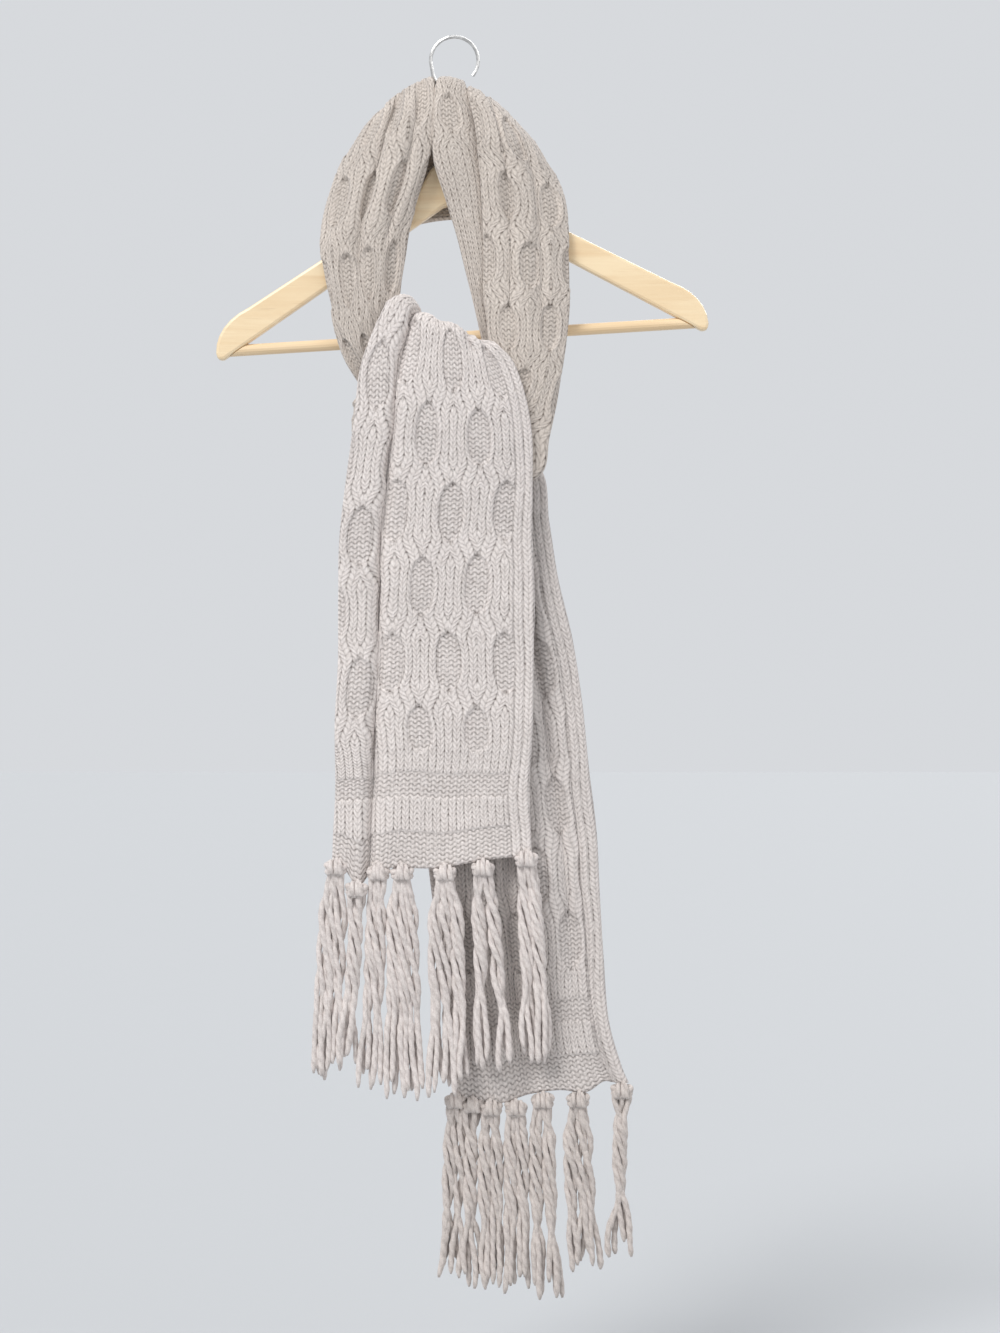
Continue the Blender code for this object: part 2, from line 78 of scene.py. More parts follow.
def soft_sun(name, aim_from, softness, strength):
    """A lamp so far off that the floor is lit evenly. aim_from is the way to it from the scarf."""
    bpy.ops.object.light_add(type="SUN", location=aim_from)
    lamp = bpy.context.object
    lamp.name = name
    lamp.data.angle = np.radians(softness)
    lamp.data.energy = strength
    x, y, z = aim_from
    lamp.rotation_euler = (np.arctan2(np.hypot(x, y), z), 0.0, np.arctan2(x, -y))


soft_sun("high_left_lamp", (-1.3, -1.7, 2.2), 24.0, 1.95)
soft_sun("right_lamp", (2.0, -1.9, 0.5), 50.0, 0.42)
soft_sun("rear_lamp", (1.0, 2.2, 1.5), 40.0, 1.2)


# ---------------------------------------------------------------- hanger body and bar
# Arms sawn from one beech board and a turned bar between them. The wood is clear lacquered. Its grain
# runs along each arm, so it follows the slope on both sides of the middle.
def add_node(tree, kind, place, **settings):
    made = tree.nodes.new(kind)
    made.location = place
    for name, value in settings.items():
        setattr(made, name, value)
    return made


def add_noise(tree, place, vector, scale, detail, roughness=0.5, distortion=0.0):
    """Soft random patches, laid out by a vector socket."""
    made = add_node(tree, "ShaderNodeTexNoise", place)
    made.inputs["Scale"].default_value = scale
    made.inputs["Detail"].default_value = detail
    made.inputs["Roughness"].default_value = roughness
    made.inputs["Distortion"].default_value = distortion
    tree.links.new(vector, made.inputs["Vector"])
    return made.outputs["Fac"]


def add_range(tree, place, value, start, end, low=0.0, high=1.0):
    """A value's stretch from start to end, spread from low to high and held at both beyond it."""
    made = add_node(tree, "ShaderNodeMapRange", place)
    made.inputs["From Min"].default_value = start
    made.inputs["From Max"].default_value = end
    made.inputs["To Min"].default_value = low
    made.inputs["To Max"].default_value = high
    tree.links.new(value, made.inputs["Value"])
    return made.outputs[0]


def add_tones(tree, place, value, start, dark, end, pale):
    """A colour that goes from dark at start to pale at end."""
    made = add_node(tree, "ShaderNodeValToRGB", place)
    for element, at, colour in zip(made.color_ramp.elements, (start, end), (dark, pale)):
        element.position = at
        element.color = (*colour, 1.0)
    tree.links.new(value, made.inputs[0])
    return made.outputs["Color"]


def wood_grain(name, slope, pale, dark):
    """Beech: faint long streaks, short dark flecks and a satin coat. slope is the way the board runs."""
    made = bpy.data.materials.new(name)
    made.use_nodes = True
    tree = made.node_tree
    shader = tree.nodes["Principled BSDF"]
    place = add_node(tree, "ShaderNodeTexCoord", (-1300, 0))
    if slope:
        # the pattern is mirrored left to right, then turned to lie along the arm
        parts = add_node(tree, "ShaderNodeSeparateXYZ", (-1120, 0))
        tree.links.new(place.outputs["Object"], parts.inputs[0])
        whole = add_node(tree, "ShaderNodeMath", (-960, 80), operation="ABSOLUTE")
        tree.links.new(parts.outputs["X"], whole.inputs[0])
        joined = add_node(tree, "ShaderNodeCombineXYZ", (-800, 0))
        tree.links.new(whole.outputs[0], joined.inputs["X"])
        tree.links.new(parts.outputs["Y"], joined.inputs["Y"])
        tree.links.new(parts.outputs["Z"], joined.inputs["Z"])
        start = joined.outputs[0]
    else:
        start = place.outputs["Object"]
    along = add_node(tree, "ShaderNodeMapping", (-640, 0))
    along.inputs["Rotation"].default_value = (0.0, -slope, 0.0)
    along.inputs["Scale"].default_value = (6.0, 95.0, 95.0)
    tree.links.new(start, along.inputs[0])
    streak = add_noise(tree, (-440, 120), along.outputs[0], 1.0, 5.0, 0.6, 0.6)
    fleck = add_noise(tree, (-440, -140), along.outputs[0], 5.0, 2.0)
    tone = add_tones(tree, (-240, 120), streak, 0.28, dark, 0.62, pale)
    mark = add_range(tree, (-240, -140), fleck, 0.62, 0.80, high=0.30)
    flecked = add_node(tree, "ShaderNodeMix", (0, 60), data_type="RGBA")
    flecked.inputs["B"].default_value = (0.47, 0.30, 0.15, 1.0)
    tree.links.new(mark, flecked.inputs["Factor"])
    tree.links.new(tone, flecked.inputs["A"])
    tree.links.new(flecked.outputs["Result"], shader.inputs["Base Color"])
    relief = add_node(tree, "ShaderNodeBump", (0, -260))
    relief.inputs["Strength"].default_value = 0.12
    relief.inputs["Distance"].default_value = 0.0006
    tree.links.new(streak, relief.inputs["Height"])
    tree.links.new(relief.outputs[0], shader.inputs["Normal"])
    shader.inputs["Roughness"].default_value = 0.42
    shader.inputs["Coat Weight"].default_value = 0.25
    shader.inputs["Coat Roughness"].default_value = 0.25
    return made


ARM_SLOPE = np.radians(29.7)
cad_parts["hanger_body"].material_slots[0].material = wood_grain(
    "Beech board", ARM_SLOPE, (0.905, 0.725, 0.475), (0.80, 0.585, 0.345)
)
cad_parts["hanger_bar"].material_slots[0].material = wood_grain(
    "Beech bar", 0.0, (0.86, 0.66, 0.42), (0.76, 0.54, 0.31)
)


# ---------------------------------------------------------------- hook
# Bright zinc-plated wire, bent round a former and screwed into the raised middle of the body. It is
# drawn wire, so the polish runs along it and is a little dulled in patches.
wire = bpy.data.materials.new("Plated wire")
wire.use_nodes = True
wire_tree = wire.node_tree
wire_shader = wire_tree.nodes["Principled BSDF"]
wire_shader.inputs["Metallic"].default_value = 1.0
wire_place = add_node(wire_tree, "ShaderNodeTexCoord", (-800, 0))
wire_dull = add_noise(wire_tree, (-600, 0), wire_place.outputs["Object"], 240.0, 3.0)
wire_tone = add_tones(wire_tree, (-400, 120), wire_dull, 0.35, (0.50, 0.49, 0.48), 0.65, (0.74, 0.73, 0.71))
wire_tree.links.new(wire_tone, wire_shader.inputs["Base Color"])
wire_rough = add_range(wire_tree, (-400, -140), wire_dull, 0.0, 1.0, 0.22, 0.42)
wire_tree.links.new(wire_rough, wire_shader.inputs["Roughness"])
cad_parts["hanger_hook"].material_slots[0].material = wire


# ---------------------------------------------------------------- left leg of the scarf
# The left half of the hanging loop. One length of soft grey wool and mohair is hand knitted in a half
# drop of purl ovals between plain ribs. It is bunched here, so its ribs stand up and crowd together.
MM = 0.001
CORE = 0.9  # half the cloth's thickness under its stitches, in millimetres
EDGE_ROUND = 3.0  # how far in from an edge the cloth rounds over
PAST_ANY_HEM = 1.0e4


def ease(value, start, end):
    """0 before start, 1 after end, and smooth between."""
    t = np.clip((value - start) / (end - start), 0.0, 1.0)
    return t * t * (3.0 - 2.0 * t)


def hill(distance, half_width):
    return np.exp(-((distance / half_width) ** 2))


def knit_stitch(wale, row):
    """Height of plain knitting, 0 to 1. A stitch is a V, whose two legs lean out and up."""
    side = np.abs(wale % 1.0 - 0.5)
    step = (row + 2.1 * side) % 1.0
    leg = np.sqrt(np.clip(1.0 - ((side - 0.23) / 0.28) ** 2, 0.0, 1.0))
    return leg * (0.50 + 2.0 * step * (1.0 - step))


def purl_stitch(wale, row):
    """Height of purl, 0 to 1. Each row is one yarn that waves up and down and beads at each turn."""
    wave = (row + 0.27 * np.cos(2.0 * np.pi * wale)) % 1.0
    return 4.0 * wave * (1.0 - wave) * (0.74 + 0.26 * np.cos(4.0 * np.pi * wale))


def oval_outline(distance, half_width, half_length):
    """Half the width of a purl oval at this distance from its middle, and below zero past its ends."""
    left = 1.0 - (np.abs(distance) / half_length) ** 2.8
    return half_width * np.sign(left) * np.abs(np.clip(left, -0.3, 1.0)) ** 0.6


def wale_lean(off, distance, lay):
    """How far the wales beside an oval lean in over its two ends, in millimetres."""
    half_length = lay["oval_length"] / 2
    rise = ease(distance, 0.30 * half_length, 1.10 * half_length)
    fall = 1.0 - ease(distance, 1.20 * half_length, 2.0 * half_length)
    return 0.12 * lay["pitch"] * rise * fall * hill(off, 0.42 * lay["pitch"])


def honeycomb(x, y, lay, stop):
    """The half drop of ovals: how far each place stands up, where its wale is, its share of purl, and the
    painted shade of its deep gaps. x is across the cloth and y along it, from the middle of a first oval.
    It ends at stop."""
    pitch, drop = lay["pitch"], lay["drop"]
    half_width, half_length = lay["oval_width"] / 2, lay["oval_length"] / 2
    from_first = np.abs((y + drop) % (2.0 * drop) - drop)
    from_second = np.abs(y % (2.0 * drop) - drop)
    off = np.abs((x + pitch / 2) % pitch - pitch / 2)
    lean = wale_lean(off, from_first, lay) - wale_lean(pitch / 2 - off, from_second, lay)
    wale = (off + lean * (1.0 - ease(y, stop - 12.0, stop))) * lay["half_wales"] / (pitch / 2)
    inside = np.maximum(
        oval_outline(from_first, half_width, half_length) - off,
        off - pitch / 2 + oval_outline(from_second, half_width, half_length),
    )
    from_axis = np.minimum(off, pitch / 2 - off)
    inside = np.minimum(inside, stop - y - 0.08 * from_axis**2)
    oval = ease(inside, -0.7, 0.7)
    ends = hill(off, 1.7) * hill(from_first - half_length - 0.5, 2.2)
    ends = ends + hill(off - pitch / 2, 1.7) * hill(from_second - half_length - 0.5, 2.2)
    seam = hill(off, 1.5) * hill(from_first - half_length, lay["seam"])
    seam = (seam + hill(off - pitch / 2, 1.5) * hill(from_second - half_length, lay["seam"])) * (1.0 - oval)
    before_stop = 1.0 - ease(y, stop - 4.0, stop)
    ends, seam = ends * before_stop * lay["holes"], seam * before_stop
    level = lay["bulge"] * (1.0 - ease(inside, -3.0, 0.8) + 0.30 * hill(inside + 3.2, 2.2))
    level = level - 1.1 * ends - 0.6 * seam
    # painted shade: darkest in the holes at each oval's ends, fainter along the seams and round the ovals'
    # outline
    gap_shade = 0.9 * ends + 0.15 * seam + 0.22 * lay["holes"] * hill(inside - 0.2, 1.0)
    return level, wale, oval, gap_shade


def knitting(x, y, lay, wrong_side):
    """The whole pattern: the honeycomb, the bands at a hem, and the plain columns along an edge. Gives the
    height in millimetres, the place in its wale and row, the share of purl, and the painted shade of the
    deep gaps."""
    wander = lay["wander"]
    x = x + wander * (np.sin(y / 31.0 + x / 47.0) + 0.5 * np.sin(y / 13.0 + 1.7))
    y = y + wander * (np.sin(x / 23.0 + y / 61.0) + 0.6 * np.sin(x / 9.7 + 0.9))
    stop = lay["bands"][0][0] - lay["oval_y"] if lay["bands"] else PAST_ANY_HEM
    level, wale, purl, gap_shade = honeycomb(x - lay["oval_x"], y - lay["oval_y"], lay, stop)
    for start, end, kind in lay["bands"]:
        share = ease(y, start - 1.0, start + 1.0) * (1.0 - ease(y, end - 1.0, end + 1.0))
        level = level + (lay["bulge"] * (0.75 if kind == "knit" else 0.25) - level) * share
        purl = purl + ((0.0 if kind == "knit" else 1.0) - purl) * share
        gap_shade = gap_shade * (1.0 - share)
    if wrong_side:
        level, purl, gap_shade = lay["bulge"] - level, 1.0 - purl, 0.4 * gap_shade
    for start, end in lay["columns"]:
        share = ease(x, start - 0.8, start) * (1.0 - ease(x, end, end + 0.8))
        line = hill(x - start, 1.2)
        level = level + (lay["bulge"] - level) * share - 0.35 * line
        purl = purl * (1.0 - share)
        wale = np.where(share > 0.5, (x - start) / (end - start), wale)
        # painted shade in the groove where each plain column starts
        gap_shade = gap_shade * (1.0 - share) + 0.10 * line
    row, turn, turn_row = y / lay["row"], x / lay["wale"], y / lay["oval_row"]
    relief = knit_stitch(wale, row) * (1.0 - purl) + purl_stitch(turn, turn_row) * purl
    return level + lay["stitch"] * relief, wale, row, purl, turn, turn_row, gap_shade


def sections_at(rows, along):
    """The section at each part of the length, from 0 to 1, on a smooth curve through the rows."""
    rows = np.array(rows, float)
    place = np.clip(along, 0.0, 1.0) * (len(rows) - 1)
    first = np.minimum(place.astype(int), len(rows) - 2)
    t = (place - first)[:, None]
    before = rows[np.maximum(first - 1, 0)]
    after = rows[np.minimum(first + 2, len(rows) - 1)]
    return (
        (-t + 2 * t**2 - t**3) / 2 * before
        + (2 - 5 * t**2 + 3 * t**3) / 2 * rows[first]
        + (t + 4 * t**2 - 3 * t**3) / 2 * rows[first + 1]
        + (-(t**2) + t**3) / 2 * after
    )


def middle_of_cloth(rows, folds, across, along, swells=()):
    """The cloth's middle surface in millimetres, as a grid of points: one line for each place along it."""
    u, v = across[None, :], along[:, None]
    left_x, left_z, left_y, right_x, right_z, right_y, belly, bow = sections_at(rows, along).T[:, :, None]
    arch = 4.0 * u * (1.0 - u)
    rise_x, rise_z = left_z - right_z, right_x - left_x
    reach = np.hypot(rise_x, rise_z)
    x = left_x + (right_x - left_x) * u + bow * arch * rise_x / reach
    y = left_y + (right_y - left_y) * u - belly * arch
    z = left_z + (right_z - left_z) * u + bow * arch * rise_z / reach
    for across_start, across_end, start, end, half_width, depth in folds:
        share = (v - start) / (end - start)
        ends = ease(share, -0.05, 0.15)
        if end < 1.0:
            ends = ends * (1.0 - ease(share, 0.8, 1.05))
        y = y + depth * ends * hill(u - across_start - (across_end - across_start) * share, half_width)
    for across_at, half_width, height, fade_in, full, fade_out, gone in swells:
        strength = ease(v, fade_in, full) * (1.0 - ease(v, fade_out, gone))
        z = z + height * hill(u - across_at, half_width) * strength
    return np.stack(np.broadcast_arrays(x, y, z), axis=-1)


def outward(middle):
    """The direction that the right side faces, at each point of the middle surface."""
    along, across = np.gradient(middle, axis=0), np.gradient(middle, axis=1)
    out = np.cross(along, across)
    return out / np.linalg.norm(out, axis=2, keepdims=True)


def length_down(middle):
    """How far along the cloth each line of the grid lies, in millimetres, measured down its middle."""
    line = middle[:, middle.shape[1] // 2]
    return np.concatenate([[0.0], np.cumsum(np.linalg.norm(np.diff(line, axis=0), axis=1))])


def fabric_grid(middle, width):
    """The place of each point in the flat cloth, in millimetres across it and along it."""
    return np.meshgrid(np.linspace(0, width, middle.shape[1]), length_down(middle))


def sheet_mesh(name, middle, fabric_x, fabric_y, lay, material, coarse_back=False):
    """One closed shell of knitted cloth: the right side, the wrong side, and the edge between them. With
    coarse_back, the wrong side has only every second point."""
    out = outward(middle)
    long, wide = middle.shape[0] - 1, middle.shape[1] - 1
    step_across = np.linalg.norm(np.diff(middle, axis=1), axis=2)
    from_left = np.concatenate([np.zeros((long + 1, 1)), np.cumsum(step_across, axis=1)], axis=1)
    step_along = np.linalg.norm(np.diff(middle, axis=0), axis=2)
    from_top = np.concatenate([np.zeros((1, wide + 1)), np.cumsum(step_along, axis=0)], axis=0)
    in_from_edge = np.minimum(from_left, from_left[:, -1:] - from_left)
    in_from_edge = np.minimum(in_from_edge, np.minimum(from_top, from_top[-1:] - from_top))
    rim = np.clip(in_from_edge / EDGE_ROUND, 0.0, 1.0)
    round_over = 0.06 + 0.94 * np.sqrt(np.clip(1.0 - (1.0 - rim) ** 2, 0.0, 1.0))
    stray = 0.45 * np.sin(fabric_x / 17.0 + fabric_y / 29.0)
    stray = stray + 0.35 * np.sin(fabric_x / 41.0 - fabric_y / 19.0)
    grids, stitches = [], []
    for wrong_side in (False, True):
        height, *drawing = knitting(fabric_x, fabric_y, lay, wrong_side)
        sign = -1.0 if wrong_side else 1.0
        grids.append(middle + out * (sign * (CORE + height) * round_over + stray * rim)[..., None])
        stitches.append(np.stack(drawing, axis=-1))
    skip = 2 if coarse_back else 1
    number = np.arange((long + 1) * (wide + 1)).reshape(long + 1, wide + 1)
    front = number
    rear = np.full_like(number, -1)
    rear_count = rear[::skip, ::skip].size
    rear[::skip, ::skip] = number.size + np.arange(rear_count).reshape(rear[::skip, ::skip].shape)
    points = np.concatenate([grids[0].reshape(-1, 3), grids[1][::skip, ::skip].reshape(-1, 3)]) * MM
    drawing = np.concatenate([stitches[0].reshape(-1, 6), stitches[1][::skip, ::skip].reshape(-1, 6)])
    quads = np.stack([front[:-1, :-1], front[:-1, 1:], front[1:, 1:], front[1:, :-1]], -1).reshape(-1, 4)
    back = rear[::skip, ::skip]
    back_quads = np.stack([back[:-1, :-1], back[1:, :-1], back[1:, 1:], back[:-1, 1:]], -1).reshape(-1, 4)
    faces = quads.tolist() + back_quads.tolist()
    loops = (
        (front[0, ::-1], rear[0, ::-1]),
        (front[-1], rear[-1]),
        (front[:, 0], rear[:, 0]),
        (front[::-1, -1], rear[::-1, -1]),
    )
    for near, far in loops:
        near, far = near.tolist(), far.tolist()
        for first in range(0, len(near) - skip, skip):
            last = first + skip
            faces.append([*near[first : last + 1], far[last], far[first]])
    mesh = bpy.data.meshes.new(name)
    mesh.from_pydata(points.tolist(), [], faces)
    mesh.polygons.foreach_set("use_smooth", np.ones(len(mesh.polygons), bool))
    # the last part of purl_place is the painted shade of the deep gaps
    for title, columns in (("knit_place", (0, 1, 2)), ("purl_place", (3, 4, 5))):
        attribute = mesh.attributes.new(title, "FLOAT_VECTOR", "POINT")
        attribute.data.foreach_set("vector", drawing[:, columns].astype(np.float32).ravel())
    mesh.materials.append(material)
    made = bpy.data.objects.new(name, mesh)
    bpy.context.scene.collection.objects.link(made)
    return made


def wool_group():
    """Heathered wool and mohair: the colour of the yarn with paler and darker hairs in it, the painted shade
    in the gaps between stitches, and the fine relief of its twist and nap."""
    group = bpy.data.node_groups.new("Heathered wool", "ShaderNodeTree")
    for title in ("Yarn", "Hair", "Shade"):
        group.interface.new_socket(title, in_out="INPUT", socket_type="NodeSocketColor")
    group.interface.new_socket("Gap shade", in_out="INPUT", socket_type="NodeSocketFloat")
    group.interface.new_socket("Color", in_out="OUTPUT", socket_type="NodeSocketColor")
    group.interface.new_socket("Height", in_out="OUTPUT", socket_type="NodeSocketFloat")
    group_in = add_node(group, "NodeGroupInput", (-900, 0))
    group_out = add_node(group, "NodeGroupOutput", (700, 0))
    place = add_node(group, "ShaderNodeTexCoord", (-1100, -200))
    where = place.outputs["Object"]
    heather = add_noise(group, (-700, 250), where, 620.0, 4.0, 0.7)
    cloud = add_noise(group, (-700, 0), where, 26.0, 6.0, 0.72)
    nap = add_noise(group, (-700, -250), where, 1500.0, 3.0, 0.75)
    speck = add_range(group, (-480, 250), heather, 0.38, 0.66)
    yarn = add_node(group, "ShaderNodeMix", (-260, 200), data_type="RGBA")
    group.links.new(speck, yarn.inputs["Factor"])
    group.links.new(group_in.outputs["Yarn"], yarn.inputs["A"])
    group.links.new(group_in.outputs["Hair"], yarn.inputs["B"])
    drift = add_range(group, (-480, 0), cloud, 0.30, 0.70, 0.90, 1.06)
    toned = add_node(group, "ShaderNodeVectorMath", (-40, 150), operation="SCALE")
    group.links.new(yarn.outputs["Result"], toned.inputs[0])
    group.links.new(drift, toned.inputs["Scale"])
    # loose fibres lie across the gaps here and there, so the painted shade in them is patchy
    fuzz = add_noise(group, (-700, -480), where, 330.0, 3.0)
    open_gap = add_range(group, (-480, -480), fuzz, 0.34, 0.62, 0.45)
    patchy_shade = add_node(group, "ShaderNodeMath", (-260, -60), operation="MULTIPLY")
    group.links.new(group_in.outputs["Gap shade"], patchy_shade.inputs[0])
    group.links.new(open_gap, patchy_shade.inputs[1])
    # mohair: paler hairs that lie mostly along the wales
    combed = add_node(group, "ShaderNodeMapping", (-900, -720))
    combed.inputs["Rotation"].default_value = (0.0, 0.25, 0.0)
    combed.inputs["Scale"].default_value = (1.0, 1.0, 0.16)
    group.links.new(where, combed.inputs["Vector"])
    mohair = add_noise(group, (-700, -720), combed.outputs[0], 900.0, 2.0, distortion=0.8)
    hairs = add_range(group, (-480, -720), mohair, 0.52, 0.70, high=0.60)
    shaded = add_node(group, "ShaderNodeMix", (200, 100), data_type="RGBA")
    group.links.new(patchy_shade.outputs[0], shaded.inputs["Factor"])
    group.links.new(toned.outputs[0], shaded.inputs["A"])
    group.links.new(group_in.outputs["Shade"], shaded.inputs["B"])
    haired = add_node(group, "ShaderNodeMix", (400, 100), data_type="RGBA")
    group.links.new(hairs, haired.inputs["Factor"])
    group.links.new(shaded.outputs["Result"], haired.inputs["A"])
    group.links.new(group_in.outputs["Hair"], haired.inputs["B"])
    group.links.new(haired.outputs["Result"], group_out.inputs["Color"])
    fine = add_node(group, "ShaderNodeMath", (200, -200), operation="MULTIPLY_ADD")
    fine.inputs[1].default_value = 0.45
    group.links.new(nap, fine.inputs[0])
    group.links.new(heather, fine.inputs[2])
    group.links.new(fine.outputs[0], group_out.inputs["Height"])
    return group


heathered_wool = wool_group()


def stitch_group():
    """The fine drawing of the stitches, from each point's place in its wale and row: the painted shade
    between them and their height. Knit holds wale, row and share of purl. Purl holds turn, row and the
    painted shade of the deep gaps."""
    group = bpy.data.node_groups.new("Knitted stitches", "ShaderNodeTree")
    group.interface.new_socket("Knit", in_out="INPUT", socket_type="NodeSocketVector")
    group.interface.new_socket("Purl", in_out="INPUT", socket_type="NodeSocketVector")
    group.interface.new_socket("Gap shade", in_out="OUTPUT", socket_type="NodeSocketFloat")
    group.interface.new_socket("Height", in_out="OUTPUT", socket_type="NodeSocketFloat")
    group_in = add_node(group, "NodeGroupInput", (-200, 0))
    knit = add_node(group, "ShaderNodeSeparateXYZ", (0, 100))
    purl = add_node(group, "ShaderNodeSeparateXYZ", (0, -100))
    group.links.new(group_in.outputs["Knit"], knit.inputs[0])
    group.links.new(group_in.outputs["Purl"], purl.inputs[0])
    wale, row, purl_share = knit.outputs
    turn, turn_row, deep_gap_shade = purl.outputs

    def calc(operation, *values):
        """One step of arithmetic between sockets and plain numbers."""
        count = len(group.nodes)
        made = add_node(group, "ShaderNodeMath", (200 + count // 6 * 180, 400 - count % 6 * 170))
        made.operation = operation
        for slot, value in zip(made.inputs, values):
            if isinstance(value, float):
                slot.default_value = value
            else:
                group.links.new(value, slot)
        return made.outputs[0]

    def hump(value):
        """0 at both ends of each whole step and 1/4 in its middle."""
        step = calc("FRACT", value)
        return calc("MULTIPLY", step, calc("SUBTRACT", 1.0, step))

    def shade(height, most):
        return calc("MULTIPLY", calc("POWER", calc("SUBTRACT", 1.0, height), 1.5), most)

    def blend(start, end, share):
        return calc("MULTIPLY_ADD", calc("SUBTRACT", end, start), share, start)

    side = calc("ABSOLUTE", calc("SUBTRACT", calc("FRACT", wale), 0.5))
    across = calc("DIVIDE", calc("SUBTRACT", side, 0.23), 0.28)
    leg = calc("SQRT", calc("MAXIMUM", calc("SUBTRACT", 1.0, calc("MULTIPLY", across, across)), 0.0))
    steps = hump(calc("MULTIPLY_ADD", side, 2.1, row))
    plain = calc("MULTIPLY", leg, calc("MULTIPLY_ADD", steps, 2.0, 0.50))
    swing = calc("COSINE", calc("MULTIPLY", turn, 2.0 * np.pi))
    beads = calc("MULTIPLY_ADD", calc("COSINE", calc("MULTIPLY", turn, 4.0 * np.pi)), 1.04, 2.96)
    waved = calc("MULTIPLY", hump(calc("MULTIPLY_ADD", swing, 0.27, turn_row)), beads)
    # painted shade: a dark dot where four stitches meet, at the edge of a wale
    near_edge = calc("MAXIMUM", calc("MULTIPLY_ADD", side, 6.2, -2.1), 0.0)
    between = calc("POWER", calc("MULTIPLY_ADD", steps, -4.0, 1.0), 2.0)
    shade_dots = calc("MULTIPLY", calc("MULTIPLY", near_edge, between), 0.75)
    height = blend(plain, waved, purl_share)
    # painted shade, darker where the stitch is low: between the legs of each V and between purl rows
    gap_shade = blend(calc("ADD", shade(plain, 1.25), shade_dots), shade(waved, 0.80), purl_share)
    group_out = add_node(group, "NodeGroupOutput", (2200, 0))
    group.links.new(height, group_out.inputs["Height"])
    group.links.new(calc("MINIMUM", calc("ADD", gap_shade, deep_gap_shade), 1.0), group_out.inputs["Gap shade"])
    return group


knitted_stitches = stitch_group()


def wool(name, yarn, hair, shade, stitches=True):
    """Wool for a sheet that carries its stitches, or for a bare yarn that carries its own painted gap shade.
    """
    made = bpy.data.materials.new(name)
    made.use_nodes = True
    tree = made.node_tree
    shader = tree.nodes["Principled BSDF"]
    look = add_node(tree, "ShaderNodeGroup", (-450, 0), node_tree=heathered_wool)
    look.inputs["Yarn"].default_value = (*yarn, 1.0)
    look.inputs["Hair"].default_value = (*hair, 1.0)
    look.inputs["Shade"].default_value = (*shade, 1.0)
    tree.links.new(look.outputs["Color"], shader.inputs["Base Color"])
    relief = add_node(tree, "ShaderNodeBump", (-200, -250))
    relief.inputs["Strength"].default_value = 0.55
    relief.inputs["Distance"].default_value = 0.0008
    tree.links.new(look.outputs["Height"], relief.inputs["Height"])
    tree.links.new(relief.outputs[0], shader.inputs["Normal"])
    if stitches:
        knit_place = add_node(tree, "ShaderNodeAttribute", (-950, -100), attribute_name="knit_place")
        purl_place = add_node(tree, "ShaderNodeAttribute", (-950, -300), attribute_name="purl_place")
        drawn = add_node(tree, "ShaderNodeGroup", (-700, -150), node_tree=knitted_stitches)
        tree.links.new(knit_place.outputs["Vector"], drawn.inputs["Knit"])
        tree.links.new(purl_place.outputs["Vector"], drawn.inputs["Purl"])
        tree.links.new(drawn.outputs["Gap shade"], look.inputs["Gap shade"])
        stitched = add_node(tree, "ShaderNodeBump", (-450, -350))
        stitched.inputs["Strength"].default_value = 0.6
        stitched.inputs["Distance"].default_value = 0.0012
        tree.links.new(drawn.outputs["Height"], stitched.inputs["Height"])
        tree.links.new(stitched.outputs[0], relief.inputs["Normal"])
    else:
        # the bare yarn's painted shade in the groove between its plies
        gap_shade = add_node(tree, "ShaderNodeAttribute", (-700, -150), attribute_name="gap_shade")
        tree.links.new(gap_shade.outputs["Fac"], look.inputs["Gap shade"])
    shader.inputs["Roughness"].default_value = 0.92
    shader.inputs["Specular IOR Level"].default_value = 0.25
    shader.inputs["Sheen Weight"].default_value = 0.35
    shader.inputs["Sheen Roughness"].default_value = 0.45
    shader.inputs["Sheen Tint"].default_value = (0.96, 0.95, 0.95, 1.0)
    return made


# The scarf is one yarn throughout. This copy is made darker and warmer than the tails' copies: painted shade
# on the bunched legs and the cloth behind them.
shaded_leg_wool = wool("Knit wool with painted shade", (0.622, 0.544, 0.478), (0.765, 0.688, 0.622), (0.124, 0.095, 0.075))

# Each row is a section across the cloth in millimetres: its left end's x, z and y, its right end's, how far
# its middle bellies to the front, and how far it bows up.
LEFT_LEG = (
    (-72, -90, 15, -20.5, -52, 13, 0, 4),
    (-70, -79, 6, -19, -38.5, 5, 0, 6.5),
    (-84, -91, 0, -17, -45, -7, 5, 5),
    (-99, -112, 3, -18.5, -75, -15, 17, 2),
    (-110.5, -140, 4, -23, -115, -17, 18, 1),
    (-118, -168, 0, -32, -146, -16, 16, 0),
    (-120, -194, -9.5, -40, -173, -15, 12, 0),
    (-116.5, -219, -11.5, -44.5, -200, -15, 11, 0),
    (-111, -243, -13, -48.5, -226, -16, 10, 0),
    (-106.5, -267, -14, -50.5, -250, -17, 9, 0),
    (-98, -293, -16, -47, -275, -18, 7, 0),
    (-84, -318, -17, -33, -300, -18, 4, 0),
    (-66, -350, -17, -8, -327, -18, 2, 0),
    (-46, -385, -16, 22, -356, -18, 1, 0),
)
# Each fold is a soft trough: where it starts and ends across the cloth and along it, as shares, then half
# its width as a share and its depth in millimetres.
LEFT_LEG_FOLDS = ((0.50, 0.42, 0.12, 0.62, 0.09, 7), (0.80, 0.74, 0.16, 0.50, 0.07, 3.5))
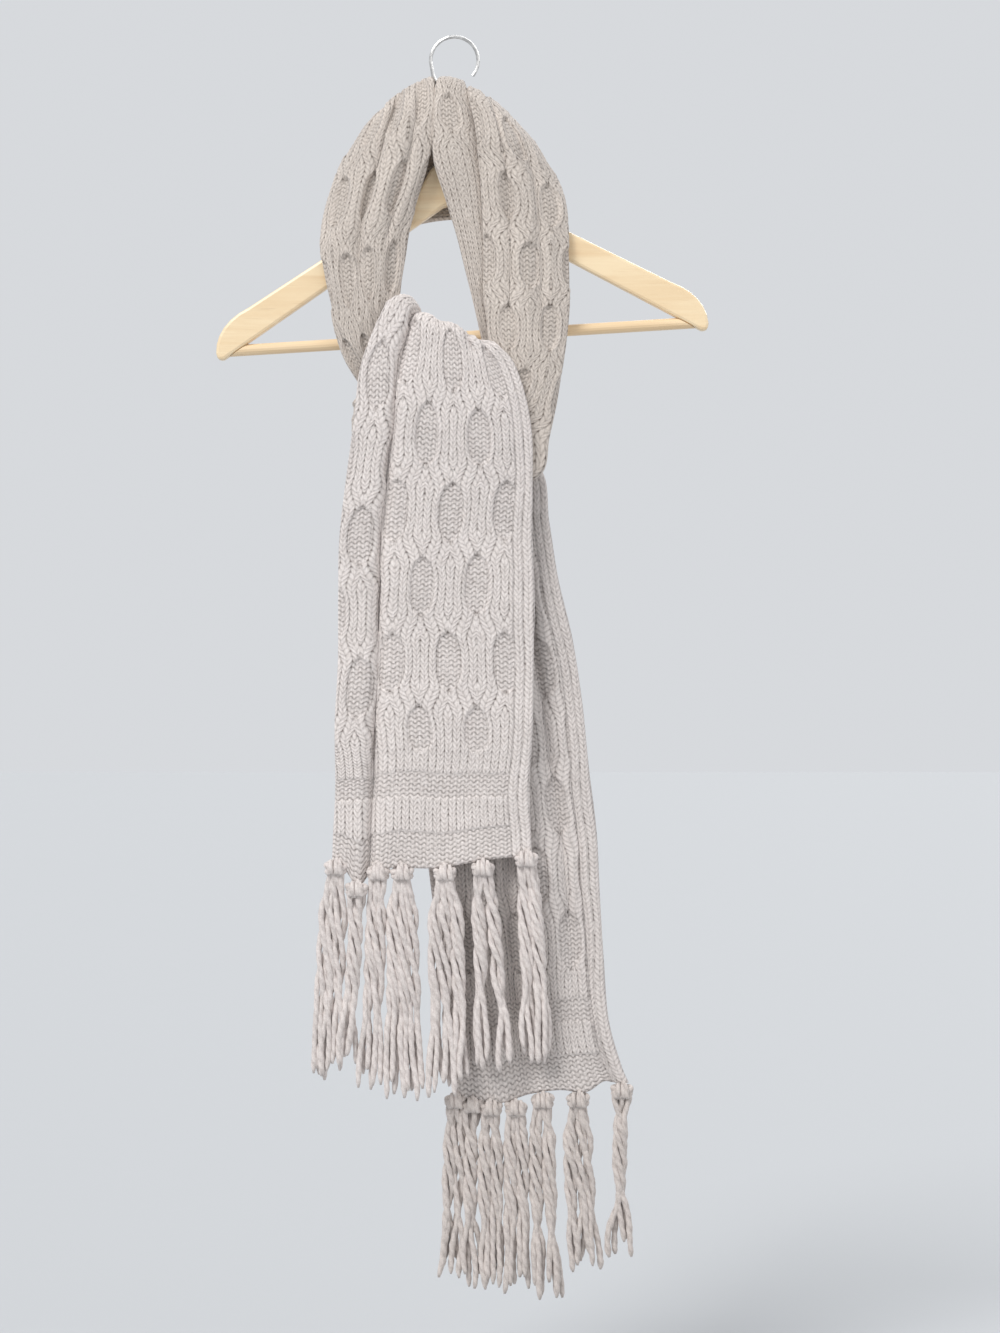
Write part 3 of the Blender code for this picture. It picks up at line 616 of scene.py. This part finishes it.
# The lay of the pattern in millimetres, apart from the plain columns in half an oval's pitch, half_wales, and
# how open its holes are.
BUNCHED = dict(
    drop=75.0, oval_length=46.0, row=4.7, oval_row=4.3, stitch=1.5, bulge=2.6, wander=1.2, seam=10.0,
    holes=0.35, bands=(), columns=(),
)
leg_middle = middle_of_cloth(LEFT_LEG, LEFT_LEG_FOLDS, np.linspace(0, 1, 86), np.linspace(0, 1, 301))
LEFT_LEG_WIDTH = 85.0
leg_x, leg_y = fabric_grid(leg_middle, LEFT_LEG_WIDTH)
left_leg_lay = dict(
    BUNCHED, pitch=0.28 * LEFT_LEG_WIDTH, oval_width=10.5, half_wales=2.5, wale=5.2,
    oval_x=0.43 * LEFT_LEG_WIDTH, oval_y=118.0,
)
left_leg = sheet_mesh("left_leg_knit", leg_middle, leg_x, leg_y, left_leg_lay, shaded_leg_wool)
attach(left_leg, "root")
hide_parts("scarf_left_leg")


# ---------------------------------------------------------------- right leg of the scarf
# The right half of the loop, the same cloth, less tightly bunched, so its ovals lie wider apart.
RIGHT_LEG = (
    (11, -58, 14, 55, -90, 15, 0, 4),
    (10.5, -46, 5, 53, -80, 6, 0, 4),
    (12, -54, -11, 66, -91, 1, 5, 3),
    (18.5, -82, -20, 82, -111, 3, 15, 2),
    (22.5, -115, -21, 95, -136, 3, 15, 1),
    (24.5, -146, -22, 101, -159, -5, 11, 0),
    (26, -177, -23, 103, -186, -11, 9, 0),
    (26.5, -207, -24, 103.8, -212, -14, 9, 0),
    (26.5, -236, -26, 103.8, -240, -17, 9, 0),
    (30, -264, -27, 101.5, -268, -20, 9, 0),
    (29, -291, -30, 98, -297, -24, 7, 0),
    (8, -317, -33, 93, -331, -27, 5, 0),
    (-22, -330, -34, 86, -364, -28, 3, 0),
    (-48, -330, -34, 78, -398, -28, 2, 0),
    (-62, -321, -34, 38, -412, -29, 1, 0),
    (-72, -314, -34, -10, -412, -30, 0, 0),
)
RIGHT_LEG_FOLDS = ((0.34, 0.30, 0.10, 0.60, 0.07, 4), (0.62, 0.66, 0.16, 0.62, 0.08, 3.5))
right_middle = middle_of_cloth(RIGHT_LEG, RIGHT_LEG_FOLDS, np.linspace(0, 1, 80), np.linspace(0, 1, 341))
RIGHT_LEG_WIDTH = 77.0
right_x, right_y = fabric_grid(right_middle, RIGHT_LEG_WIDTH)
right_leg_lay = dict(
    BUNCHED, pitch=0.49 * RIGHT_LEG_WIDTH, drop=58.0, oval_width=13.0, oval_length=40.0, half_wales=3.5,
    wale=5.6, bulge=2.2, oval_x=0.29 * RIGHT_LEG_WIDTH, oval_y=122.0,
)
right_leg = sheet_mesh("right_leg_knit", right_middle, right_x, right_y, right_leg_lay, shaded_leg_wool)
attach(right_leg, "root")
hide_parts("scarf_right_leg")


# ---------------------------------------------------------------- inner strip
# The edge of the cloth beside the opening, which turns in under the right leg on its way down.
INNER_STRIP = (
    (-12.5, -51, 13, 6.5, -54, 13.5, 0, 1),
    (-13, -38.5, 5, 8.5, -42.5, 5, 0, 1.5),
    (-17, -45, -9, 11, -49.5, -5, 3, 1),
    (-19, -78, -18, 21, -80, -9, 6, 0),
    (-18.5, -114, -19, 28, -116, -11, 7, 0),
    (-7.5, -150, -18, 31, -150, -13, 5, 0),
    (2, -181, -17, 34, -181, -14, 3.5, 0),
    (9.5, -211, -17, 36, -211, -15, 2.5, 0),
    (17, -241, -17, 38, -241, -16, 1.5, 0),
    (23.5, -270, -18, 41, -268, -18, 0.5, 0),
    (28, -290, -19, 46, -286, -19, 0, 0),
)
strip_middle = middle_of_cloth(INNER_STRIP, (), np.linspace(0, 1, 37), np.linspace(0, 1, 201))
STRIP_WIDTH = 40.0
strip_x, strip_y = fabric_grid(strip_middle, STRIP_WIDTH)
strip_lay = dict(
    BUNCHED, pitch=42.0, drop=200.0, oval_width=15.0, oval_length=34.0, half_wales=4.0, wale=5.4, bulge=1.8,
    oval_x=0.42 * STRIP_WIDTH, oval_y=62.0,
)
inner_strip = sheet_mesh("inner_strip_knit", strip_middle, strip_x, strip_y, strip_lay, shaded_leg_wool)
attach(inner_strip, "root")
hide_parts("scarf_inner_strip")


# ---------------------------------------------------------------- back of the neck
# The stretch behind the hook that joins both legs, lying against the back of the arms.
BACK_NECK = (
    (-88, -104, 12, -112, -182, 12, -6, 0),
    (-72, -88, 20, -90, -180, 17, -7, 0),
    (-48, -66, 24, -58, -172, 19, -8, 0),
    (-16, -50, 24, -18, -163, 19, -8, 0),
    (18, -52, 24, 18, -161, 19, -8, 0),
    (42, -76, 24, 52, -164, 19, -8, 0),
    (62, -96, 20, 80, -167, 17, -7, 0),
    (80, -114, 12, 96, -164, 12, -6, 0),
)
OPEN_LAY = dict(
    pitch=49.2, drop=68.5, oval_width=20.5, oval_length=52.0, half_wales=3.5, row=4.7, oval_row=4.3, wale=6.8,
    stitch=1.6, bulge=1.4, wander=1.2, seam=6.0, holes=0.7, bands=(), columns=(),
)
neck_middle = middle_of_cloth(BACK_NECK, (), np.linspace(0, 1, 85), np.linspace(0, 1, 151))
NECK_WIDTH = 110.0
neck_x, neck_y = fabric_grid(neck_middle, NECK_WIDTH)
neck_lay = dict(OPEN_LAY, oval_x=30.0, oval_y=35.0)
back_neck = sheet_mesh("back_neck_knit", neck_middle, neck_x, neck_y, neck_lay, shaded_leg_wool)
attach(back_neck, "root")
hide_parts("scarf_back_neck")


# ---------------------------------------------------------------- turn round the left leg
# The knot's hidden turn: it leaves the crossing, goes round the left leg and climbs behind both legs.
WRAP = (
    (-74.5, -321, -33, -74.5, -400, -30.5, 0, 0),
    (-82, -325, -31, -83, -398, -28, 0, 0),
    (-87, -330, -24, -88, -392, -20, 0, 0),
    (-88, -333, -15, -89, -388, -11, 0, 0),
    (-85, -333, -6, -85, -386, -3, 0, 0),
    (-76, -328, -2, -72, -384, 1, -2, 0),
    (-64, -316, -3, -50, -380, 2, -3, 0),
    (-54, -302, -4, -16, -366, 1, -4, 0),
    (-48, -294, -7, 10, -336, -3, -3, 0),
    (-42.2, -284.6, -9.4, 19, -298.6, -9.4, 0, 0),
)
wrap_middle = middle_of_cloth(WRAP, (), np.linspace(0, 1, 61), np.linspace(0, 1, 121))
WRAP_WIDTH = 75.0
wrap_x, wrap_y = fabric_grid(wrap_middle, WRAP_WIDTH)
wrap_lay = dict(OPEN_LAY, oval_x=12.0, oval_y=40.0, pitch=40.0, oval_width=15.0, half_wales=3.0)
wrap = sheet_mesh("wrap_knit", wrap_middle, wrap_x, wrap_y, wrap_lay, shaded_leg_wool)
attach(wrap, "root")
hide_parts("scarf_wrap")


# ---------------------------------------------------------------- fringe yarn
# Each tassel is a few lengths of the same two-ply yarn, doubled, hooked through the hem and pulled
# through their own loop. The loop sits on the hem like a small collar, and the ends hang free.
fringe_wool = wool(
    "Grey fringe wool", (0.650, 0.580, 0.545), (0.800, 0.735, 0.700), (0.140, 0.112, 0.098), stitches=False
)
PLY_TURN = 11.0  # millimetres of yarn for half a turn of its two plies
YARN_RADIUS = 2.85
YARN_SIDES = 9
ROPE_HALF = 6.5  # half the width of one rope of yarns
WAIST = 8.0  # half the width of the bundle under its collar
ROPE_TURN = 84.0  # millimetres for a full turn of the yarns that twist together


def yarn_tube(path, radius, taper, phase, reference=(0.0, 1.0, 0.0)):
    """Points, faces and painted gap shade of one closed two-ply strand along a path in millimetres. The
    path never runs the way of the reference, and phase turns its plies."""
    run = np.gradient(path, axis=0)
    run /= np.linalg.norm(run, axis=1, keepdims=True)
    sideways = np.cross(run, np.array(reference))
    sideways /= np.linalg.norm(sideways, axis=1, keepdims=True)
    forward = np.cross(sideways, run)
    far = np.concatenate([[0.0], np.cumsum(np.linalg.norm(np.diff(path, axis=0), axis=1))])
    angle = np.linspace(0, 2 * np.pi, YARN_SIDES, endpoint=False)[None, :]
    twist = (np.pi * far / PLY_TURN + phase)[:, None]
    lobe = np.abs(np.cos(angle - twist))
    size = radius * taper[:, None] * (0.76 + 0.24 * lobe)
    points = (
        path[:, None, :]
        + sideways[:, None, :] * (size * np.cos(angle))[..., None]
        + forward[:, None, :] * (size * np.sin(angle))[..., None]
    )
    # painted shade in the groove between the two plies
    gap_shade = 0.45 * np.clip(1.0 - lobe, 0.0, 1.0) ** 1.6 + np.zeros_like(size)
    count = len(path)
    ring = np.arange(count * YARN_SIDES).reshape(count, YARN_SIDES)
    around = np.roll(ring, -1, axis=1)
    quads = np.stack([ring[:-1], around[:-1], around[1:], ring[1:]], -1).reshape(-1, 4).tolist()
    quads.append(ring[0, ::-1].tolist())
    quads.append(ring[-1].tolist())
    return points.reshape(-1, 3), quads, gap_shade.ravel()


def yarn_object(name, tubes, material):
    """One object of several closed strands."""
    points, faces, gap_shades, offset = [], [], [], 0
    for tube_points, tube_faces, tube_gap_shades in tubes:
        points.append(tube_points)
        gap_shades.append(tube_gap_shades)
        faces.extend([[corner + offset for corner in face] for face in tube_faces])
        offset += len(tube_points)
    mesh = bpy.data.meshes.new(name)
    mesh.from_pydata((np.concatenate(points) * MM).tolist(), [], faces)
    mesh.polygons.foreach_set("use_smooth", np.ones(len(mesh.polygons), bool))
    # the painted shade between the plies goes on as an attribute
    gap_shade = mesh.attributes.new("gap_shade", "FLOAT", "POINT")
    gap_shade.data.foreach_set("value", np.concatenate(gap_shades).astype(np.float32))
    mesh.materials.append(material)
    made = bpy.data.objects.new(name, mesh)
    bpy.context.scene.collection.objects.link(made)
    return made


def tassel(name, row, ropes, seed, material):
    """One tassel: its yarns leave the collar side by side, twist together in loose ropes, and part again
    towards their ends. row is the x, z and y of its top, the x and z of its end, and half its width in the
    middle and at the end. ropes is how many yarns each rope has."""
    top_x, top_z, top_y, end_x, end_z, middle_spread, end_spread = row
    chance = np.random.default_rng(seed)
    tubes = []
    share = np.linspace(0.0, 1.0, 46)
    length = top_z - end_z
    widening = ease(share, 0.0, 0.20)
    for rope, yarns in enumerate(ropes):
        middle = rope / (len(ropes) - 1) * 2.0 - 1.0 if len(ropes) > 1 else 0.0
        rope_phase = chance.uniform(0.0, 2.0 * np.pi)
        rope_turn = ROPE_TURN * chance.uniform(0.8, 1.35)
        rope_wave = chance.uniform(-1.0, 1.0)
        outer = middle_spread - ROPE_HALF + (end_spread - middle_spread) * ease(share, 0.35, 1.0)
        centre = middle * (3.0 + (outer - 3.0) * widening) + chance.uniform(-1.5, 1.5) * share
        wound = ease(share, 0.04, 0.24) * (1.0 - ease(share, 0.45, 0.85))
        coil = (1.5 if yarns > 2 else 1.0) * YARN_RADIUS
        for yarn in range(yarns):
            own = (yarn + 0.5) / yarns * 2.0 - 1.0
            turn = rope_phase + 2.0 * np.pi * (yarn / yarns + share * length / rope_turn)
            apart = 6.0 if len(ropes) > 1 else end_spread
            room = WAIST / len(ropes) + (apart - WAIST / len(ropes)) * ease(share, 0.4, 1.0)
            bend = 1.8 * rope_wave * np.sin(np.pi * share * 1.3)
            free = ease(share, 0.45, 1.0) * chance.uniform(0.8, 3.0)
            stray = free * np.sin(2 * np.pi * (share * chance.uniform(1.0, 2.2) + chance.random()))
            x = top_x + (end_x - top_x) * share + centre + bend + own * room * (1.0 - wound)
            x = x + coil * wound * np.cos(turn) + stray
            depth = (-1.0 if yarn % 2 == 0 else 1.0) * 2.6 * (1.0 - wound)
            y = top_y + depth + 0.75 * coil * wound * np.sin(turn) + 0.6 * free * np.sin(6.0 * share + seed)
            finish = end_z + chance.uniform(-3.0, 17.0)
            z = top_z + 1.5 + (finish - top_z - 1.5) * share
            taper = 1.0 - 0.62 * ease(share, 0.965, 1.0)
            taper = taper * (0.97 + 0.07 * np.sin(2 * np.pi * (share * 5.0 + chance.random())))
            radius = YARN_RADIUS * chance.uniform(0.96, 1.16)
            phase = chance.uniform(0, np.pi)
            tubes.append(yarn_tube(np.stack([x, y, z], axis=1), radius, taper, phase))
    # the collar: two soft rings round the bundle, and three loops in front of the hem
    turns = np.linspace(0.0, 2.0 * np.pi, 29)
    tilt = chance.uniform(-1.2, 1.2)
    for level, reach in ((-1.2, 0.88), (3.0, 0.98)):
        ring_x = top_x + WAIST * reach * np.sin(turns)
        ring_y = top_y - 4.4 * reach * np.cos(turns)
        ring_z = top_z + level + tilt * np.sin(turns + level) - 1.6 * np.cos(turns)
        ring_path = np.stack([ring_x, ring_y, ring_z], axis=1)
        even = np.ones(len(turns))
        tubes.append(yarn_tube(ring_path, YARN_RADIUS * 1.2, even, seed, reference=(0.0, 0.0, 1.0)))
    climb = np.linspace(0.0, 1.0, 9)
    for side in (-0.75, 0.05, 0.8):
        loop_x = top_x + side * (6.2 - 2.2 * climb) + 0.8 * np.sin(seed + 3.0 * side)
        loop_y = top_y - 5.0 - 2.2 * np.sin(np.pi * climb) + 1.2 * climb
        loop_z = top_z - 4.0 + (14.5 - 2.5 * abs(side)) * climb
        loop_path = np.stack([loop_x, loop_y, loop_z], axis=1)
        tubes.append(yarn_tube(loop_path, YARN_RADIUS * 1.15, 1.0 - 0.45 * climb**2, side))
    return yarn_object(name, tubes, material)


FRONT_FRINGE = (
    (-106, -752, -26.5, -115, -940, 13, 17, (3, 4, 3)),
    (-87, -771, -29, -95, -926, 7, 8, (4,)),
    (-68, -756.5, -27, -75, -948, 10.5, 12, (4, 3)),
    (-46.5, -756.5, -28, -43.5, -958, 16, 18, (4, 4, 3)),
    (-8, -756.5, -29, -5, -954, 16, 18, (4, 3, 4)),
    (26, -752.5, -29, 37, -931, 12.5, 19, (5, 3)),
    (65, -744.5, -27, 76, -926, 11.5, 14, (4, 4)),
)
for number, (*row, ropes) in enumerate(FRONT_FRINGE, 1):
    made = tassel(f"front_tassel_{number}", row, ropes, number, fringe_wool)
    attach(made, "root")
    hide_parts(f"fringe_front_{number}")

REAR_FRINGE = (
    (1.5, -964.5, -6, -2, -1122, 11, 11, (4, 3)),
    (16.5, -968, -8, 14.5, -1133, 7, 8.5, (4,)),
    (33, -970.5, -9, 35, -1134, 11, 11, (4, 4)),
    (56, -970.5, -9, 56.5, -1135, 12, 12, (4, 4)),
    (80, -964, -8, 84, -1142, 13, 14, (4, 4)),
    (112, -963.5, -7, 117, -1118, 13.5, 16, (4, 3, 2)),
    (152, -955.5, -4.5, 151, -1106, 7, 13, (5,)),
)
# painted shade: the same fringe yarn as in front, made darker for the tassels behind
shaded_rear_fringe_wool = wool(
    "Fringe wool with painted shade",
    (0.560, 0.495, 0.455),
    (0.690, 0.625, 0.585),
    (0.120, 0.096, 0.082),
    stitches=False,
)
for number, (*row, ropes) in enumerate(REAR_FRINGE, 1):
    made = tassel(f"rear_tassel_{number}", row, ropes, 20 + number, shaded_rear_fringe_wool)
    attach(made, "root")
    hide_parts(f"fringe_rear_{number}")


# ---------------------------------------------------------------- short front tail
# It comes up behind the crossing, folds over it in soft lobes and hangs down the front. A deep crease
# parts its left strip. Bands of plain and purl rows end it, and plain columns stiffen its right edge.
def hem_bands(hem, above):
    """Bands of plain and purl rows by turns, down to a hem. above is how far above it each one starts."""
    kinds = ("knit", "purl", "knit", "purl")
    return tuple((hem - start, hem - end, kind) for start, end, kind in zip(above, above[1:], kinds))


# painted light: the scarf's one yarn, made paler here than on the legs
lit_tail_wool = wool("Knit wool with painted light", (0.725, 0.652, 0.612), (0.900, 0.835, 0.800), (0.135, 0.108, 0.094))

FRONT_TAIL = (
    (-42, -284, -9.5, 19, -298, -9.5, 0, 0),
    (-44, -268, -11, 20, -290, -11, 0, 0),
    (-46, -255, -19, 21.5, -281, -19, 0, 0),
    (-52, -252, -34, 25, -281, -34, 0, 0),
    (-62, -256, -40, 40, -285, -42.5, 3, 0),
    (-73, -277, -42, 53, -298, -42, 7, 0),
    (-84, -308, -42, 63.5, -326, -42, 10, 0),
    (-89, -350, -40, 70, -362, -40, 9, 0),
    (-96, -400, -37, 70.5, -402, -37, 7, 0),
    (-102.5, -456, -34, 70.5, -456, -34, 6, 0),
    (-103.5, -510, -32, 72.5, -510, -32, 5, 0),
    (-104, -566, -30, 71.5, -566, -30, 4, 0),
    (-107, -622, -28, 71, -622, -28, 4, 0),
    (-106.5, -678, -27, 68, -675, -27, 3, 0),
    (-108.5, -720, -26, 69, -712, -26, 3, 0),
    (-109.5, -748, -26, 70, -740, -26, 3, 0),
)
CREASE_TOP, CREASE_FOOT = 0.255, 0.185  # where the crease parts the left strip, as shares of the width
OVER = 0.14  # the share of the sections that goes over the crossing
FRONT_FOLDS = ((CREASE_TOP, CREASE_FOOT, OVER, 1.0, 0.035, 9), (0.74, 0.70, 0.10, 0.34, 0.04, 7))
# Each swell lifts the cloth in a lobe, or lowers it: where it is across, half its width, its height in
# millimetres, and the shares along the cloth where it starts, is whole, begins to fade and is gone. The
# last three shape the hem.
FRONT_SWELLS = (
    (0.11, 0.10, 14, 0.02, 0.12, 0.25, 0.5),
    (0.36, 0.10, 5, 0.02, 0.12, 0.25, 0.5),
    (0.62, 0.10, 4, 0.02, 0.12, 0.25, 0.5),
    (0.88, 0.06, -6, 0.02, 0.12, 0.25, 0.5),
    (0.13, 0.055, -19, 0.86, 1.0, 2.0, 3.0),
    (0.24, 0.05, -5, 0.86, 1.0, 2.0, 3.0),
    (0.50, 0.25, -7, 0.86, 1.0, 2.0, 3.0),
)
# the sections lie closer together over the crossing, so fewer points in each keep the spacing even
front_across = np.linspace(0, 1, 167)
front_along = np.concatenate([np.linspace(0, OVER, 25)[:-1], np.linspace(OVER, 1, 425)])
front_middle = middle_of_cloth(FRONT_TAIL, FRONT_FOLDS, front_across, front_along, FRONT_SWELLS)
front_down = length_down(front_middle)
FRONT_WIDTH = 176.0
FIRST_OVALS = 365.0  # how far the first whole row of ovals lies below the inside of the hook's top
BESIDE_OVALS = 98  # a line of points beside the middle, where that row's height is read
PAST_FOLD = 90  # the first point along it that hangs free of the fold
falling = -front_middle[PAST_FOLD:, BESIDE_OVALS, 2]
first_row = np.interp(FIRST_OVALS, falling, front_down[PAST_FOLD:])
crease_at = CREASE_TOP + (CREASE_FOOT - CREASE_TOP) * (front_along[:, None] - OVER) / (1.0 - OVER)
strip_share = 1.0 - ease(front_across[None, :], crease_at - 0.03, crease_at + 0.03)
# the crease takes up cloth, so the pattern left of it is out of step: 20 mm across, and 24 mm down as far
# as the hem's bands
front_x = FRONT_WIDTH * front_across[None, :] - 20.0 * strip_share
strip_lag = 24.0 * strip_share * (1.0 - ease(front_down[:, None], 420.0, 470.0))
front_y = front_down[:, None] - first_row - strip_lag
front_lay = dict(
    OPEN_LAY, pitch=50.0, drop=67.5, oval_x=75.0, oval_y=0.0,
    bands=hem_bands(front_down[-1] - first_row, (104.0, 86.0, 63.0, 33.0, -30.0)),
    columns=((158.0, 166.5), (166.5, FRONT_WIDTH)),
)
front_tail = sheet_mesh(
    "front_tail_knit", front_middle, front_x, front_y, front_lay, lit_tail_wool, coarse_back=True
)
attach(front_tail, "root")
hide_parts("scarf_front_tail")


# ---------------------------------------------------------------- long rear tail
# It leaves the back of the crossing and hangs behind the short tail, drifting to the right.
# painted light, less than on the short tail: the same yarn made a little paler than on the legs
half_lit_rear_wool = wool("Knit wool with some painted light", (0.655, 0.590, 0.555), (0.800, 0.740, 0.705), (0.125, 0.102, 0.090))

REAR_TAIL = (
    (-46, -391, -15, 24, -361, -16, 1, 0),
    (-50, -418, -14, 77, -390, -15, 3, 0),
    (-52, -450, -13, 86, -440, -12, 4, 0),
    (-50, -498, -12, 94, -490, -10, 5, 0),
    (-46, -552, -11, 107, -545, -8, 5, 0),
    (-40, -608, -10, 116, -603, -6, 5, 0),
    (-34, -664, -9, 122, -662, -5, 5, 0),
    (-27, -722, -8, 129, -720, -4, 4, 0),
    (-20, -780, -7, 132, -778, -4, 4, 0),
    (-13, -838, -6, 135.5, -836, -4, 4, 0),
    (-7, -894, -6, 140, -890, -4, 4, 0),
    (-3, -940, -6, 151, -930, -4, 4, 0),
    (-1.5, -962, -6, 158, -947, -4, 4, 0),
)
REAR_FOLDS = (
    (0.72, 0.82, 0.12, 0.80, 0.05, 7),
    (0.52, 0.40, 0.20, 1.0, 0.07, 6),
    (0.88, 0.92, 0.50, 1.0, 0.035, 4),
)
REAR_SWELLS = (
    (0.28, 0.14, -7, 0.88, 1.0, 2.0, 3.0),
    (0.74, 0.08, -5, 0.88, 1.0, 2.0, 3.0),
    (0.86, 0.05, 4, 0.88, 1.0, 2.0, 3.0),
)
rear_middle = middle_of_cloth(
    REAR_TAIL, REAR_FOLDS, np.linspace(0, 1, 125), np.linspace(0, 1, 381), REAR_SWELLS
)
rear_down = length_down(rear_middle)
REAR_WIDTH = 160.0
OVAL_BESIDE_TAIL = 573.0  # how far below the same place an oval shows beside the short tail
rear_x, rear_y = fabric_grid(rear_middle, REAR_WIDTH)
rear_lay = dict(
    OPEN_LAY, drop=62.0, bulge=1.6, oval_x=0.79 * REAR_WIDTH,
    oval_y=np.interp(OVAL_BESIDE_TAIL, -rear_middle[:, 62, 2], rear_down),
    bands=hem_bands(rear_down[-1], (104.0, 84.0, 62.0, 32.0, -30.0)),
    columns=((143.0, 151.0), (151.0, REAR_WIDTH)),
)
rear_tail = sheet_mesh("rear_tail_knit", rear_middle, rear_x, rear_y, rear_lay, half_lit_rear_wool)
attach(rear_tail, "root")
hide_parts("scarf_rear_tail")
